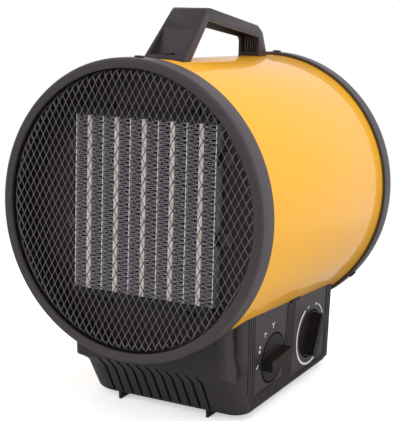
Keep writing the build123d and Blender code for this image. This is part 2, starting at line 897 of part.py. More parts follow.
def control_nut():
    nut = extrude(RegularPolygon(panel_nut_radius, 6), panel_nut_height())
    return Pos(0, 0, -knob_recess) * nut - Cylinder(bush_radius + fit_gap, 4 * knob_depth)


def panel_nut_height():
    return bush_length - knob_cup_wall - fit_gap


def knob_floor():
    """Height of the knob's underside above its frame's origin."""
    return knob_proud - knob_skirt


def control_spindle():
    low = -knob_depth - fit_gap - spindle_grip() + 0.5
    high = knob_floor() + spindle_engage
    shaft = Pos(0, 0, (low + high) / 2) * Cylinder(spindle_radius, high - low)
    flat = Pos(spindle_radius * 1.5, 0, high - spindle_engage / 2) * Box(
        spindle_radius * 2, spindle_radius * 2, spindle_engage - 2)
    return shaft - flat


def knob():
    """A round skirt with a bar grip across it; the pointer is at +X."""
    skirt = Pos(0, 0, knob_proud - knob_skirt / 2) * Cylinder(knob_radius, knob_skirt)
    skirt = fillet(skirt.edges().group_by(Axis.Z)[-1], 0.8)
    bar = extrude(RectangleRounded(grip_length, grip_width, grip_round), grip_height, taper=grip_draft)
    bar = fillet(bar.edges().group_by(Axis.Z)[-1], grip_round / 2)
    high = knob_floor() + spindle_engage + 0.4
    bore = Pos(0, 0, (knob_floor() - 1 + high) / 2) * Cylinder(spindle_radius + running_gap, high - knob_floor() + 1)
    return skirt + bar - bore


def bulb_place():
    """A frame on the shell's inside, near the back: +Z points inwards, +X along the drum."""
    return radial(bulb_angle, shell_bore, drum_length - rear_ring_depth - bulb_length) * Rot(180, 0, 0)


def thermostat_bulb():
    return bulb_place() * Pos(0, 0, bulb_radius + bulb_stand) * Rot(0, 90, 0) * Cylinder(bulb_radius, bulb_length)


def bulb_clips():
    """Straps with a foot that hold the bulb off the shell."""
    strap = Cylinder(bulb_radius + 1.2, 8) - Cylinder(bulb_radius + fit_gap, 8)
    foot = block((-4, -5, 2 * fit_gap), (4, 5, bulb_stand - 0.6))
    clip = Pos(0, 0, bulb_radius + bulb_stand) * Rot(0, 90, 0) * strap + foot
    return [bulb_place() * Pos(x, 0, 0) * clip for x in (-bulb_length / 3, bulb_length / 3)]


# ---- nodes: name, frame, maker ----

switch_frame = centre * switch_place
thermostat_frame = centre * thermostat_place
nodes = {
    "drum_shell": (drum, drum_shell),
    "front_ring": (drum, front_ring),
    "rear_ring": (drum, rear_ring),
    "front_ring_screws": (drum, lambda: on_front_ring(ring_screw())),
    "rear_ring_screws": (drum, lambda: on_rear_ring(ring_screw())),
    "front_grille": (drum, front_grille),
    "rear_grille": (drum, rear_grille),
    "handle": (drum, handle),
    "handle_screws": (drum, handle_screws),
    "heater_baffle": (drum, heater_baffle),
    "ptc_bars": (drum, ptc_bars),
    "heater_fins": (drum, heater_fins),
    "divider_strips": (drum, divider_strips),
    "element_frames": (drum, end_frames),
    "element_clips": (drum, element_clips),
    "heater_terminals": (drum, heater_terminals),
    "baffle_screws": (drum, baffle_screws),
    "thermal_cutout": (drum, thermal_cutout),
    "motor_bracket": (drum, motor_bracket),
    "motor_body": (drum, motor_body),
    "motor_shaft": (drum, motor_shaft),
    "fan": (drum, fan),
    "fan_nut": (drum, fan_nut),
    "base_body": (centre, base_body),
    "base_plate": (centre, base_plate),
    "base_screws": (centre, base_screws),
    "front_feet": (centre, front_feet),
    "rear_feet": (centre, rear_feet),
    "saddle_screws": (drum, saddle_screws),
    "cable_gland": (centre, cable_gland),
    "terminal_block": (centre, terminal_block),
    "rotary_switch": (switch_frame, lambda: control_body(switch_body_width, switch_body_length, switch_body_depth)),
    "switch_nut": (switch_frame, control_nut),
    "switch_spindle": (switch_frame, control_spindle),
    "switch_knob": (switch_frame * Rot(0, 0, switch_rest_angle), knob),
    "thermostat": (thermostat_frame,
                   lambda: control_body(thermostat_body_width, thermostat_body_length, thermostat_body_depth)),
    "thermostat_nut": (thermostat_frame, control_nut),
    "thermostat_spindle": (thermostat_frame, control_spindle),
    "thermostat_knob": (thermostat_frame * Rot(0, 0, thermostat_rest_angle), knob),
    "thermostat_bulb": (drum, thermostat_bulb),
    "bulb_clips": (drum, bulb_clips),
}

os.makedirs("parts", exist_ok=True)
for name, (frame, maker) in nodes.items():
    made = maker()
    solids = [s for piece in (made if isinstance(made, list) else [made]) for s in (frame * piece).solids()]
    export_step(Compound(solids) if len(solids) > 1 else solids[0], f"parts/{name}.step")
    print(name, len(solids))
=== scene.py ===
import bmesh
import bpy
from math import atan2, cos, hypot, pi, radians, sin, sqrt
from mathutils import Matrix, Vector


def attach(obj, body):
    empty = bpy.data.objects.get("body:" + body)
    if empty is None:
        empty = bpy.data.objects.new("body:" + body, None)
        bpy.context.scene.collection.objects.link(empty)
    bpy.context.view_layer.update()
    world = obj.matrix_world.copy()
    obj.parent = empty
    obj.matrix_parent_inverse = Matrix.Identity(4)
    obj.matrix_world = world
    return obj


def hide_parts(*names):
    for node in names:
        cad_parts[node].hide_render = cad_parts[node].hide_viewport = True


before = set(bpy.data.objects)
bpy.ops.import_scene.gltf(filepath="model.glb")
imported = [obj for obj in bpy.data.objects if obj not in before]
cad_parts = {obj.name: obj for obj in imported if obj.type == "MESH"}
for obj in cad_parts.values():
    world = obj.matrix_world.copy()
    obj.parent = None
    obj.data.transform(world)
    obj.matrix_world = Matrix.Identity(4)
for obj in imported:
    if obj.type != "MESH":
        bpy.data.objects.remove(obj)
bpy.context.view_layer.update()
mm = 0.001

# lengths are millimetres: the base's frame has y to the rear and z up from the floor,
# and the drum's own frame has y from the front ring's face to the back, tilted on the axis
layout = {"tilt": 4.2, "halfLength": 127.656, "axisHeight": 179.0}
drumTurn = Matrix.Rotation(radians(-layout["tilt"]), 4, "X")
basePlace = Matrix.Translation((0, -layout["halfLength"] * mm, 0)) @ Matrix.Scale(mm, 4)
drumPlace = (Matrix.Translation((0, -layout["halfLength"] * mm, layout["axisHeight"] * mm))
             @ drumTurn @ Matrix.Scale(mm, 4))


class Field:
    # one socket of a shader: a sum or product on it adds a Math node
    def __init__(self, finish, socket):
        self.finish, self.socket = finish, socket

    def maths(self, operation, other):
        return self.finish.node("ShaderNodeMath", {"operation": operation}, {0: self, 1: other})

    def __add__(self, other):
        return self.maths("ADD", other)

    __radd__ = __add__

    def __mul__(self, other):
        return self.maths("MULTIPLY", other)

    __rmul__ = __mul__


class Finish:
    # one material, or the world, with its nodes
    def __init__(self, name, tree=None):
        if tree is None:
            self.material = bpy.data.materials.new(name)
            self.material.use_nodes = True
            tree = self.material.node_tree
        self.tree = tree
        self.tree.nodes.clear()

    def node(self, kind, settings, sockets, output=0):
        made = self.tree.nodes.new(kind)
        for key, value in settings.items():
            if key == "stops":
                ramp = made.color_ramp.elements
                for index, (place, colour) in enumerate(value):
                    stop = ramp[index] if index < 2 else ramp.new(place)
                    stop.position, stop.color = place, colour
            else:
                setattr(made, key, value)
        for key, value in sockets.items():
            if isinstance(value, Field):
                self.tree.links.new(value.socket, made.inputs[key])
            else:
                made.inputs[key].default_value = value
        return Field(self, made.outputs[output]) if len(made.outputs) else None

    def place(self, stretch=(1, 1, 1)):
        where = self.node("ShaderNodeTexCoord", {}, {}, "Object")
        return self.node("ShaderNodeMapping", {}, {"Vector": where, "Scale": stretch})

    def noise(self, scale, detail, roughness, stretch=(1, 1, 1)):
        return self.node("ShaderNodeTexNoise", {}, {"Vector": self.place(stretch), "Scale": scale,
                                                    "Detail": detail, "Roughness": roughness})

    def blend(self, factor, first, second):
        return self.node("ShaderNodeMix", {"data_type": "RGBA"}, {0: factor, 6: first, 7: second}, 2)

    def bump(self, height, strength, distance):
        return self.node("ShaderNodeBump", {}, {"Strength": strength, "Distance": distance, "Height": height})

    def surface(self, sockets):
        shader = self.node("ShaderNodeBsdfPrincipled", {}, sockets)
        self.node("ShaderNodeOutputMaterial", {}, {"Surface": shader})
        return self.material


def tint(red, green, blue):
    # a colour as the eye reads it, 0 to 255, turned into linear light
    def linear(level):
        level = level / 255
        return level / 12.92 if level <= 0.04045 else ((level + 0.055) / 1.055) ** 2.4
    return (linear(red), linear(green), linear(blue), 1.0)


def shade(colour, gain, lift=0.0):
    # the same colour made paler or deeper
    return tuple(min(1.0, level * gain + lift) for level in colour[:3]) + (1.0,)


def moulded(name, colour, rough, grain=0.12, grainSize=2600, dust=0.06, shine=0.45):
    # injection-moulded plastic: spark-eroded grain with faint flow marks
    finish = Finish(name)
    fine = finish.noise(grainSize, 2.0, 0.6)
    flow = finish.noise(38, 4.0, 0.55, (1, 1, 2.2))
    return finish.surface({
        "Base Color": finish.blend(flow * (7 * dust), colour, shade(colour, 1.45, 0.008)),
        "Roughness": rough - 0.05 + fine * 0.07 + flow * 0.05,
        "Specular IOR Level": shine,
        "Normal": finish.bump(fine, grain, 0.00025),
    })


def coated(name, colour, rough, coat=0.0, peel=0.05, peelSize=520, shine=0.5):
    # paint on metal, with the orange peel that a powder coat leaves
    finish = Finish(name)
    ripple = finish.noise(peelSize, 2.0, 0.5)
    broad = finish.noise(9, 2.0, 0.5)
    return finish.surface({
        "Base Color": finish.blend(broad * 0.5, colour, shade(colour, 0.93)),
        "Roughness": rough - 0.03 + ripple * 0.06,
        "Coat Weight": coat,
        "Coat Roughness": 0.05,
        "Specular IOR Level": shine,
        "Normal": finish.bump(ripple, peel, 0.0002),
    })


def metal(name, colour, rough, stretch=(1, 1, 1), wear=0.25):
    # bare or plated metal with drawn or tumbled grain and a few dull patches
    finish = Finish(name)
    grain = finish.noise(1800, 2.0, 0.6, stretch)
    patch = finish.noise(60, 4.0, 0.6)
    return finish.surface({
        "Base Color": finish.blend(patch * wear, colour, shade(colour, 0.72)),
        "Metallic": 1.0,
        "Roughness": rough - 0.05 + grain * 0.12 + patch * 0.06,
        "Normal": finish.bump(grain, 0.1, 0.0002),
    })


def ceramicWrap(name, pale, deep):
    # insulated bars, mottled by heat
    finish = Finish(name)
    mottle = finish.noise(150, 4.0, 0.65)
    fibre = finish.noise(1400, 2.0, 0.5, (1, 1, 0.25))
    stops = [(0.42, (0, 0, 0, 1)), (0.62, (1, 1, 1, 1))]
    mask = finish.node("ShaderNodeValToRGB", {"stops": stops}, {"Fac": mottle})
    return finish.surface({
        "Base Color": finish.blend(mask, pale, deep),
        "Roughness": 0.55 + fibre * 0.1,
        "Normal": finish.bump(fibre, 0.15, 0.0002),
    })


finishes = {
    "drum": coated("drumYellow", tint(247, 179, 38), 0.46, coat=0.55, peel=0.04, shine=0.25),
    "innerDark": coated("drumInnerDark", tint(26, 25, 26), 0.6),
    "ring": moulded("ringPlastic", tint(60, 55, 59), 0.42),
    "handle": moulded("handlePlastic", tint(40, 35, 38), 0.38),
    "base": moulded("basePlastic", tint(45, 39, 42), 0.38, dust=0.04),
    "knob": moulded("knobPlastic", tint(20, 18, 19), 0.42, grain=0.06, dust=0.03, shine=0.22),
    "mesh": coated("meshCoat", tint(97, 91, 97), 0.36, peel=0.12, peelSize=1500),
    "guard": coated("guardCoat", tint(40, 38, 40), 0.4, peel=0.08, peelSize=1200),
    "baffle": coated("bafflePaint", tint(42, 36, 40), 0.55, peel=0.1, peelSize=900),
    "blackScrew": coated("blackScrew", tint(34, 33, 34), 0.38, peelSize=2000),
    "fin": coated("finAluminium", tint(168, 165, 168), 0.28, peel=0.06, peelSize=900),
    "strip": coated("stripEdge", tint(246, 244, 242), 0.4, peel=0.1),
    "bars": ceramicWrap("ptcWrap", tint(236, 228, 220), tint(212, 200, 188)),
    "frame": moulded("framePlastic", tint(30, 28, 29), 0.6, grainSize=1500),
    "plate": metal("zincPlate", tint(178, 178, 180), 0.38, wear=0.4),
    "clip": coated("springSteel", tint(66, 62, 64), 0.4, peel=0.06),
    "brass": metal("tabBrass", tint(214, 180, 110), 0.32),
    "steel": metal("screwSteel", tint(185, 185, 188), 0.3, wear=0.3),
    "shaft": metal("groundShaft", tint(200, 200, 202), 0.22, (4, 0.3, 4)),
    "motor": coated("motorEnamel", tint(46, 46, 48), 0.4, peel=0.08),
    "fan": metal("fanSheet", tint(196, 198, 200), 0.36, (0.4, 3, 0.4)),
    "cutout": moulded("cutoutCase", tint(52, 44, 40), 0.45),
    "foot": moulded("footPlastic", tint(38, 36, 37), 0.5),
    "rubber": moulded("footRubber", tint(34, 33, 33), 0.72, grain=0.2, grainSize=1400),
    "gland": moulded("glandRubber", tint(32, 31, 31), 0.65, grain=0.18),
    "nylon": moulded("blockNylon", tint(214, 208, 196), 0.42, grain=0.04, dust=0.02),
    "control": moulded("controlCase", tint(150, 138, 116), 0.5),
    "copper": metal("bulbCopper", tint(196, 128, 96), 0.3),
    "marks": coated("panelMarks", tint(226, 226, 230), 0.45, peel=0.04),
}
print("finishes ready", len(finishes))


def outward(mesh):
    # every face is turned to look out of its solid
    work = bmesh.new()
    work.from_mesh(mesh)
    bmesh.ops.recalc_face_normals(work, faces=work.faces)
    work.to_mesh(mesh)
    work.free()


def rawMesh(name, points, faces):
    mesh = bpy.data.meshes.new(name)
    mesh.from_pydata([tuple(point) for point in points], [], faces)
    outward(mesh)
    return mesh


def linked(name, data):
    made = bpy.data.objects.new(name, data)
    bpy.context.collection.objects.link(made)
    return made


def settle(name, mesh, finish, body, replaced, sharp):
    # a finished mesh becomes a visible piece on its body
    outward(mesh)
    mesh.materials.clear()
    mesh.materials.append(finishes[finish])
    mesh.shade_smooth()
    mesh.set_sharp_from_angle(angle=radians(sharp))
    made = linked(name, mesh)
    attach(made, body)
    if replaced:
        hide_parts(*replaced)
    return made


def piece(name, place, points, faces, finish, replaced=(), sharp=35):
    mesh = bpy.data.meshes.new(name)
    mesh.from_pydata([tuple(place @ Vector(point)) for point in points], [], faces)
    return settle(name, mesh, finish, "body", replaced, sharp)


def latheMesh(profile, around):
    # a closed (radius, y) outline turned about the y axis
    points, faces, count = [], [], len(profile)
    for k in range(around):
        a = 2 * pi * k / around
        points += [(r * cos(a), y, r * sin(a)) for r, y in profile]
    for k in range(around):
        for i in range(count):
            j, m = (i + 1) % count, (k + 1) % around
            faces.append((k * count + i, k * count + j, m * count + j, m * count + i))
    return points, faces


def roundedProfile(corners, steps):
    # corners are (radius, y, rounding); each rounding becomes a short arc
    out = []
    for i, (r, y, rounding) in enumerate(corners):
        here = Vector((r, y))
        if rounding <= 0:
            out.append((r, y))
            continue
        before = (Vector(corners[i - 1][:2]) - here).normalized()
        after = (Vector(corners[(i + 1) % len(corners)][:2]) - here).normalized()
        half = before.angle(after) / 2
        reach = rounding / max(0.05, abs(sin(half) / max(cos(half), 1e-6)))
        start, end = here + before * reach, here + after * reach
        centre = here + (before + after).normalized() * (rounding / sin(half))
        a0, a1 = atan2(*(start - centre).yx), atan2(*(end - centre).yx)
        turn = (a1 - a0 + pi) % (2 * pi) - pi
        for k in range(steps + 1):
            a = a0 + turn * k / steps
            out.append((centre.x + rounding * cos(a), centre.y + rounding * sin(a)))
    return out


def boxAt(middle, along, across, up, halves):
    # a bar with its own three directions
    corners = [middle + along * halves[0] * a + across * halves[1] * b + up * halves[2] * c
               for a in (-1, 1) for b in (-1, 1) for c in (-1, 1)]
    sides = [(0, 1, 3, 2), (4, 6, 7, 5), (0, 4, 5, 1), (2, 3, 7, 6), (0, 2, 6, 4), (1, 5, 7, 3)]
    return corners, sides


def gather(parts):
    points, faces = [], []
    for somePoints, someFaces in parts:
        start = len(points)
        points += [tuple(point) for point in somePoints]
        faces += [tuple(start + i for i in face) for face in someFaces]
    return points, faces


def loftRings(rings, caps=True):
    # closed loops of equal count, skinned in order
    count, last = len(rings[0]), len(rings) - 1
    points = [point for loop in rings for point in loop]
    faces = [(k * count + i, k * count + (i + 1) % count, (k + 1) * count + (i + 1) % count,
              (k + 1) * count + i) for k in range(last) for i in range(count)]
    if caps:
        faces += [tuple(range(count)), tuple(last * count + i for i in range(count))]
    return points, faces


def rodAt(radius, start, end, place, around):
    # a closed round bar along the y axis of a frame
    rings = [[place @ Vector((radius * cos(2 * pi * k / around), y, radius * sin(2 * pi * k / around)))
              for k in range(around)] for y in (start, end)]
    return loftRings(rings)


def bakeModifiers(made):
    # the modifiers' result replaces the mesh
    graph = bpy.context.evaluated_depsgraph_get()
    graph.update()
    mesh = bpy.data.meshes.new_from_object(made.evaluated_get(graph))
    bpy.data.objects.remove(made)
    return mesh


def carve(mesh, tools):
    # cuts each closed (points, faces) tool from the mesh, in order
    made = linked("blank", mesh)
    knives = []
    for index, (points, faces) in enumerate(tools):
        knife = linked("knife", rawMesh("knife", points, faces))
        cut = made.modifiers.new(f"cut{index}", "BOOLEAN")
        cut.operation, cut.solver, cut.object = "DIFFERENCE", "EXACT", knife
        knives.append(knife)
    mesh = bakeModifiers(made)
    for knife in knives:
        bpy.data.objects.remove(knife)
    return mesh


def softened(node, name, finish, width, body="body"):
    # a CAD node's shape with its edges broken, as a moulding's are
    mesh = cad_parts[node].data.copy()
    work = bmesh.new()
    work.from_mesh(mesh)
    bmesh.ops.remove_doubles(work, verts=work.verts, dist=0.00002)
    bmesh.ops.dissolve_limit(work, angle_limit=radians(1.0), verts=work.verts, edges=work.edges)
    work.to_mesh(mesh)
    work.free()
    made = linked("blank", mesh)
    bevel = made.modifiers.new("bevel", "BEVEL")
    bevel.width, bevel.segments = width * mm, 2
    bevel.limit_method, bevel.angle_limit = "ANGLE", radians(28)
    bevel.use_clamp_overlap = True
    return settle(name, bakeModifiers(made), finish, body, (node,), 40)


def smooth(t):
    t = min(1.0, max(0.0, t))
    return t * t * (3 - 2 * t)


# rolled sheet, painted outside and dark inside
shell = {"radius": 117.2, "wall": 0.8, "front": 4.4, "back": 251.0, "edge": 0.3, "around": 512}


def makeShell():
    outer, inner = shell["radius"], shell["radius"] - shell["wall"]
    front, back = shell["front"], shell["back"]
    corners = [(outer, front), (outer, back), (inner, back), (inner, front)]
    points, faces = latheMesh(roundedProfile([(r, y, shell["edge"]) for r, y in corners], 3), shell["around"])
    made = piece("drumSkin", drumPlace, points, faces, "drum", replaced=("drum_shell",))
    # the faces on the inside of the wall take a second, near-black colour
    made.data.materials.append(finishes["innerDark"])
    inverse = drumPlace.inverted()
    for face in made.data.polygons:
        middle = inverse @ face.center
        if hypot(middle.x, middle.z) < outer - shell["wall"] / 2:
            face.material_index = 1


makeShell()

rims = {"radius": 120.0, "bore": 117.3, "opening": 112.0, "lip": 3.0, "round": 3.0, "edge": 0.5, "root": 0.2,
        "front": 19.0, "rear": 15.0, "length": 256.0, "around": 384}


def rimProfile(depth, face, way):
    # way is 1 for the front ring, which runs back from its face, and -1 for the rear one
    edge = rims["edge"]
    corners = [(rims["opening"], 0, edge), (rims["radius"], 0, rims["round"]), (rims["radius"], depth, edge),
               (rims["bore"], depth, edge), (rims["bore"], rims["lip"], rims["root"]),
               (rims["opening"], rims["lip"], edge)]
    return roundedProfile([(r, face + way * y, rounding) for r, y, rounding in corners], 6)


for name, depth, face, way, node in (("frontRim", rims["front"], 0.0, 1, "front_ring"),
                                     ("rearRim", rims["rear"], rims["length"], -1, "rear_ring")):
    points, faces = latheMesh(rimProfile(depth, face, way), rims["around"])
    piece(name, drumPlace, points, faces, "ring", replaced=(node,))
print("drum and rings")

# the front mesh is expanded metal: tilted strands that meet in knuckles, with a rim that rolls back
net = {"face": 3.55, "cellWidth": 6.3, "cellHeight": 11.0, "strand": 0.44, "depth": 0.62, "tilt": 22.0,
       "swell": 1.3, "swellStart": 101.0, "swellRun": 8.0,
       "rollStart": 107.0, "rollRadius": 4.6, "reach": 116.0,
       "knuckle": 2.0, "knuckleWidth": 1.1, "knuckleShare": 0.62, "knuckleCut": (0.4, 0.5)}


def rolled(x, z, back):
    # where a point of the flat sheet lies once its rim has been rolled back
    r = hypot(x, z)
    over = r - net["rollStart"]
    if over <= 0:
        return Vector((x, net["face"] + back, z))
    curl = net["rollRadius"]
    turn = min(over / curl, pi / 2)
    rest = max(0.0, over - curl * pi / 2)
    radius = net["rollStart"] + (curl - back) * sin(turn)
    y = net["face"] + curl - (curl - back) * cos(turn) + rest
    return Vector((x / r * radius, y, z / r * radius))


def strandBar(start, end, tilt):
    # a strand widens towards the rim
    (ax, az), (bx, bz) = start, end
    length = hypot(bx - ax, bz - az)
    dx, dz = (bx - ax) / length, (bz - az) / length
    out = hypot((ax + bx) / 2, (az + bz) / 2) - net["swellStart"]
    half = net["strand"] / 2 * (1.0 + net["swell"] * smooth(out / net["swellRun"]))
    deep, c, s = net["depth"] / 2, cos(tilt), sin(tilt)
    section = [(-half * c - deep * s, -half * s + deep * c), (half * c - deep * s, half * s + deep * c),
               (half * c + deep * s, half * s - deep * c), (-half * c + deep * s, -half * s - deep * c)]
    rings = []
    for t in (0, 0.5, 1):
        px, pz = ax + (bx - ax) * t, az + (bz - az) * t
        rings.append([rolled(px - dz * across, pz + dx * across, back) for across, back in section])
    return loftRings(rings)


def knuckleAt(x, z):
    half, tall, deep = net["knuckleWidth"] / 2, net["knuckle"] / 2, net["depth"] * net["knuckleShare"]
    flat, side = half * net["knuckleCut"][0], tall * net["knuckleCut"][1]
    rim = [(-half, -side), (-flat, -tall), (flat, -tall), (half, -side),
           (half, side), (flat, tall), (-flat, tall), (-half, side)]
    return loftRings([[rolled(x + a, z + b, back) for a, b in rim] for back in (-deep, deep)])


def makeNet():
    parts = []
    across, high = net["cellWidth"] / 2, net["cellHeight"] / 2
    columns, rows = int(net["reach"] / across) + 1, int(net["reach"] / high) + 1
    tilt = radians(net["tilt"])
    for i in range(-columns, columns + 1):
        for j in range(-rows, rows + 1):
            x, z = i * across, j * high
            if (i + j) % 2 or hypot(x, z) > net["reach"]:
                continue
            for side in (-1, 1):
                if hypot(x + side * across, z + high) < net["reach"]:
                    parts.append(strandBar((x, z), (x + side * across, z + high), side * tilt))
            parts.append(knuckleAt(x, z))
    points, faces = gather(parts)
    piece("frontNet", drumPlace, points, faces, "mesh", replaced=("front_grille",))


makeNet()
print("front mesh")

# the rear guard: hoops of wire on spokes, with a pressed hub whose shape is (radius, height) pairs
guard = {"plane": 252.0, "wire": 2.2, "hoops": 9, "hub": 20.0, "opening": 109.6, "rim": 116.9, "spokes": 8,
         "rimWall": 1.8, "rimEdge": 0.5, "hoopFlat": 0.9, "spokeFlat": 0.8, "spokeSink": 0.3, "overlap": 1.0,
         "hoopAround": 160, "rimAround": 192, "hubAround": 96,
         "hubShape": ((0.01, -1.0), (14.0, -1.0), (16.5, -0.4), (19.2, 0.2), (20.0, 0.0), (20.0, -1.4),
                      (19.0, -1.9), (16.5, -1.9), (13.0, -2.5), (0.01, -2.5)),
         "hubScale": 0.7, "hubStand": 1.0}


def makeGuard():
    r, plane = guard["wire"] / 2, guard["plane"]
    step = (guard["opening"] - guard["hub"]) / (guard["hoops"] + 1)
    eighths = [(cos(q * pi / 4), sin(q * pi / 4)) for q in range(8)]
    parts = []
    for i in range(1, guard["hoops"] + 1):
        middle = guard["hub"] + i * step
        section = [(middle + r * c, plane - guard["hoopFlat"] * r * s) for c, s in eighths]
        parts.append(latheMesh(section, guard["hoopAround"]))
    half, edge = guard["rimWall"] / 2, guard["rimEdge"]
    corners = [(guard["opening"], plane - half, edge), (guard["rim"], plane - half, edge),
               (guard["rim"], plane + half, edge), (guard["opening"], plane + half, edge)]
    parts.append(latheMesh(roundedProfile(corners, 3), guard["rimAround"]))
    hub = [(radius, plane + guard["hubStand"] + y * guard["hubScale"]) for radius, y in guard["hubShape"]]
    parts.append(latheMesh(hub, guard["hubAround"]))
    for k in range(guard["spokes"]):
        a = 2 * pi * k / guard["spokes"]
        along, side = Vector((cos(a), 0, sin(a))), Vector((-sin(a), 0, cos(a)))
        rings = [[along * radius + Vector((0, plane - guard["spokeSink"], 0)) + side * (r * c)
                  + Vector((0, guard["spokeFlat"] * r * s, 0)) for c, s in eighths]
                 for radius in (guard["hub"] - guard["overlap"], guard["opening"] + guard["overlap"])]
        parts.append(loftRings(rings))
    points, faces = gather(parts)
    piece("rearHoops", drumPlace, points, faces, "guard", replaced=("rear_grille",), sharp=50)


makeGuard()
print("rear guard")

# the heating element's folded fins, two columns to each bar
element = {"front": 26.0, "depth": 15.0, "width": 131.0, "height": 151.0, "bars": 5, "barWidth": 4.2,
           "strip": 0.8, "pitch": 3.3, "foil": 0.2, "gap": 0.12, "inset": 0.4, "nose": 0.5, "lean": 0.04}


def finColumns():
    bars, strip, barWidth = element["bars"], element["strip"], element["barWidth"]
    wide = (element["width"] - (bars + 1) * strip - bars * barWidth) / (2 * bars)
    x = -element["width"] / 2
    for _ in range(bars):
        yield x + strip, wide
        yield x + strip + wide + barWidth, wide
        x += strip + 2 * wide + barWidth


def makeFins():
    folds = int(element["height"] / element["pitch"])
    step, nose, lean = element["height"] / folds, element["nose"], element["lean"]
    front = element["front"] + element["inset"]
    back = element["front"] + element["depth"] - element["inset"]
    parts = []
    for left, wide in finColumns():
        near, far = left + element["gap"], left + wide - element["gap"]
        fold = ((near + nose, lean), (far - nose, 0.5 - lean), (far, 0.5), (far - nose, 0.5 + lean),
                (near + nose, 1 - lean), (near, 1))
        path = [(x, -element["height"] / 2 + (k + t) * step) for k in range(folds) for x, t in fold]
        for (ax, az), (bx, bz) in zip(path, path[1:]):
            length = hypot(bx - ax, bz - az)
            nx, nz = -(bz - az) / length * element["foil"], (bx - ax) / length * element["foil"]
            ends = [[Vector((x - nx, front, z - nz)), Vector((x + nx, front, z + nz)),
                     Vector((x + nx, back, z + nz)), Vector((x - nx, back, z - nz))]
                    for x, z in ((ax, az), (bx, bz))]
            parts.append(loftRings(ends, False))
    points, faces = gather(parts)
    piece("fins", drumPlace, points, faces, "fin", replaced=("heater_fins",), sharp=60)


makeFins()
print("fins")

# the handle: its front leg has a lined pocket over the screw, its rear leg a ribbed wall
handleEdge = 2.0
pocket = {"topFace": 76.6, "topBack": 80.5, "top": 141.8, "footFace": 67.4, "footBack": 69.0, "foot": 120.5,
          "half": 15.5}
legRibs = {"station": 203.5, "half": 7.2, "low": 120.9, "high": 139.0, "wall": 1.4, "count": 5, "wide": 1.1,
           "proud": 1.6, "margin": 0.8}


def makePocket():
    # the lining starts at the leg's face and runs in towards the screw
    profile = [(pocket["topFace"], pocket["top"]), (pocket["topBack"], pocket["top"]),
               (pocket["footBack"], pocket["foot"]), (pocket["footFace"], pocket["foot"])]
    rings = [[Vector((x, y, z)) for y, z in profile] for x in (-pocket["half"], pocket["half"])]
    points, faces = loftRings(rings)
    piece("handlePocket", drumPlace, points, faces, "ring")


def makeLegRibs():
    middle, tall = (legRibs["low"] + legRibs["high"]) / 2, (legRibs["high"] - legRibs["low"]) / 2
    axes = (Vector((1, 0, 0)), Vector((0, 1, 0)), Vector((0, 0, 1)))
    wall = legRibs["wall"] / 2
    parts = [boxAt(Vector((0, legRibs["station"], middle)), *axes, (legRibs["half"], wall, tall))]
    step = 2 * legRibs["half"] / (legRibs["count"] + 1)
    for k in range(1, legRibs["count"] + 1):
        place = Vector((-legRibs["half"] + k * step, legRibs["station"] - wall, middle))
        parts.append(boxAt(place, *axes, (legRibs["wide"] / 2, legRibs["proud"], tall - legRibs["margin"])))
    points, faces = gather(parts)
    piece("handleLegRibs", drumPlace, points, faces, "ring")


softened("handle", "carryHandle", "handle", handleEdge)
makePocket()
makeLegRibs()
print("handle")

# the base: plan outlines skinned from the floor up, then cut by the drum, the dials and the inside
base = {"low": 6.3, "high": 104.0, "wall": 2.6, "half": 76.6, "draft": 0.05, "seam": 86.0,
        "frontLow": 49.3, "frontHigh": 1.0, "rearLow": 217.0, "rearHigh": 222.5, "heelRun": 4.0,
        "heelSlope": 1.333, "cornerRear": 8.0, "cornerLeft": 27.5, "cornerRight": (14.0, 29.0),
        "cornerRise": (8.0, 50.0), "middle": 130.0, "footEdge": ((0.9, 0.0), (0.35, 0.3), (0.0, 1.0)),
        "firstLevel": 2.4, "level": 2.6, "fineLevel": 0.6, "fineFrom": 32.0, "fineTo": 46.0,
        "frontSteps": 40, "rearSteps": 8}
brow = {"front": 25.5, "half": 73.0, "round": 8.0, "start": 33.0, "end": 44.0, "hollow": 2.0, "blend": 1.5,
        "valley": 7.0, "valleyWide": 5.6}
grooves = {"count": 11, "pitch": 9.4, "depth": 2.3, "top": 43.0, "fade": 1.5, "footStart": 0.5, "foot": 2.0,
           "margin": 0.4,
           "shape": ((-1.35, 0), (-1.05, 0.55), (-0.8, 1), (0, 1), (0.8, 1), (1.05, 0.55), (1.35, 0))}
panel = {"switch": (99.6, 42.6), "thermostat": (173.4, 41.7), "pocket": 21.9, "recess": 5.5, "bush": 5.1,
         "cup": 24.4, "cupWall": 3.0, "cupOut": 4.0, "pocketOut": 12.0, "bushIn": 20.0,
         "slot": (206.0, 44.9), "slotHalves": (1.0, 6.0, 3.0)}
inside = {"crossWalls": (62.0, 147.0), "wallUp": 68.0, "wallHalves": (90.0, 1.5, 44.0),
          "bossSide": 50.1, "bossRadius": 4.5, "bossSpan": (9.0, 30.0), "below": 2.0}
drumCuts = ((117.3, -60.0, 330.0), (120.9, -60.0, 22.6), (120.1, 240.9, 330.0))  # radius, from, to


def softMin(a, b, reach):
    near = max(0.0, reach - abs(a - b)) / reach
    return min(a, b) - near * near * reach / 4


def halfWidth(up):
    return base["half"] + base["draft"] * (up - base["low"])


def share(up):
    return (up - base["low"]) / (base["high"] - base["low"])


def nearFace(up):
    # the front wall leans forward as it rises, and stops behind the ring
    return max(brow["front"], base["frontLow"] + (base["frontHigh"] - base["frontLow"]) * share(up))


